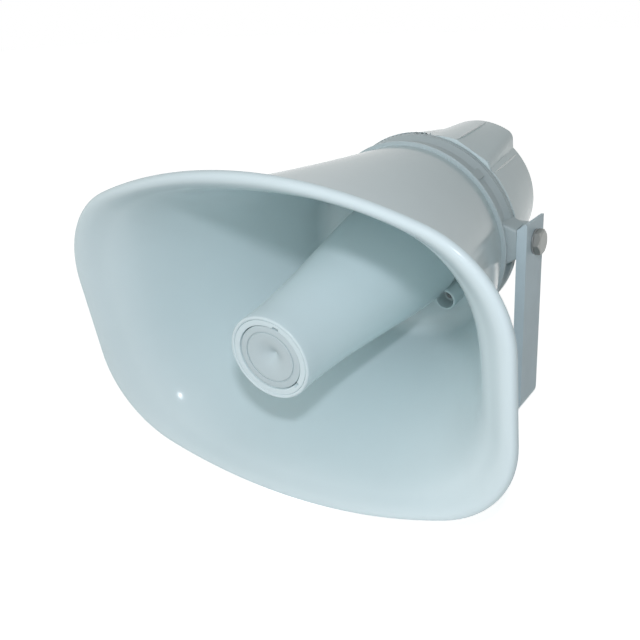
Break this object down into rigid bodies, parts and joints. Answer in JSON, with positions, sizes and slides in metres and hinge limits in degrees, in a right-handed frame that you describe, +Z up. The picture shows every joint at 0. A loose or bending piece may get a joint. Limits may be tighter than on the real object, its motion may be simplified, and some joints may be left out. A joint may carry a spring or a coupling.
{
  "type": "horn loudspeaker",
  "caption": "Re-entrant public-address horn speaker with a flared rounded-rectangular bell, bullet reflector, drum rear cover and a tilting channel U-bracket.",
  "frame": {"origin": "middle of the bracket's mounting face, in the centre hole", "axes": "+Z up along the bracket's arms, -Y the way the horn faces, +X the right-hand side for a viewer who stands in front of the mouth"},
  "size_m": [0.2846, 0.2969, 0.2062],
  "materials": {
    "horn_plastic": "gloss moulded plastic, pale blue-grey",
    "reflector_plastic": "gloss moulded plastic, pale blue-grey",
    "cap_plastic": "gloss moulded plastic, pale blue-grey",
    "collar_plastic": "gloss moulded plastic, pale blue-grey",
    "cover_plastic": "gloss moulded plastic, pale blue-grey",
    "tube_plastic": "gloss moulded plastic, pale blue-grey",
    "bolt_steel": "dark passivated steel",
    "washer_steel": "dark passivated steel",
    "screw_steel": "plated steel",
    "cover_screw_steel": "plated steel",
    "driver_screw_steel": "plated steel",
    "clamp_screw_steel": "plated steel",
    "insert_brass": "turned brass",
    "seal_rubber": "black soft rubber",
    "gland_rubber": "black soft rubber",
    "gasket_fibre": "pressed fibre sheet",
    "driver_casting": "as-cast aluminium",
    "plug_plastic": "black moulded plastic",
    "ring_plastic": "black moulded plastic",
    "surround_film": "amber film",
    "dome_film": "amber phenolic film",
    "coil_wire": "enamelled copper wire",
    "pole_steel": "zinc-plated steel",
    "yoke_steel": "zinc-plated steel",
    "ferrite": "dark ferrite",
    "core_steel": "varnished laminations",
    "winding": "taped copper winding",
    "clamp_steel": "plated steel strip",
    "terminal_plastic": "dark moulded plastic",
    "bracket_paint": "pale blue-grey powder coat on steel"
  },
  "bodies": {
    "bracket": {"bracket": "bracket_paint"},
    "horn": {"horn_bell": "horn_plastic", "reflector": "reflector_plastic", "reflector_cap": "cap_plastic", "mounting_collar": "collar_plastic", "rear_cover": "cover_plastic", "pivot_bolts": "bolt_steel", "pivot_washers": "washer_steel", "throat_tube": "tube_plastic", "reflector_screws": "screw_steel", "ear_inserts": "insert_brass", "cover_seal": "seal_rubber", "cover_screws": "cover_screw_steel", "driver_gasket": "gasket_fibre", "driver_frame": "driver_casting", "phase_plug": "plug_plastic", "driver_screws": "driver_screw_steel", "diaphragm_ring": "ring_plastic", "surround": "surround_film", "top_plate": "pole_steel", "magnet": "ferrite", "yoke": "yoke_steel", "transformer_core": "core_steel", "transformer_coil": "winding", "transformer_clamp": "clamp_steel", "transformer_screws": "clamp_screw_steel", "terminal_block": "terminal_plastic", "cable_gland": "gland_rubber"},
    "voice_coil_assembly": {"diaphragm": "dome_film", "voice_coil": "coil_wire"}
  },
  "joints": [
    {"name": "horn_tilt", "type": "hinge", "parent": "bracket", "child": "horn", "pos_m": [0, 0, 0.1261], "axis": [1, 0, 0], "range_deg": [-215, 28]},
    {"name": "voice_coil_travel", "type": "slide", "parent": "horn", "child": "voice_coil_assembly", "axis": [0, 0.9928, 0.1201], "range_m": [-0.00025, 0.00025], "stiffness_N_per_m": 1000}
  ]
}
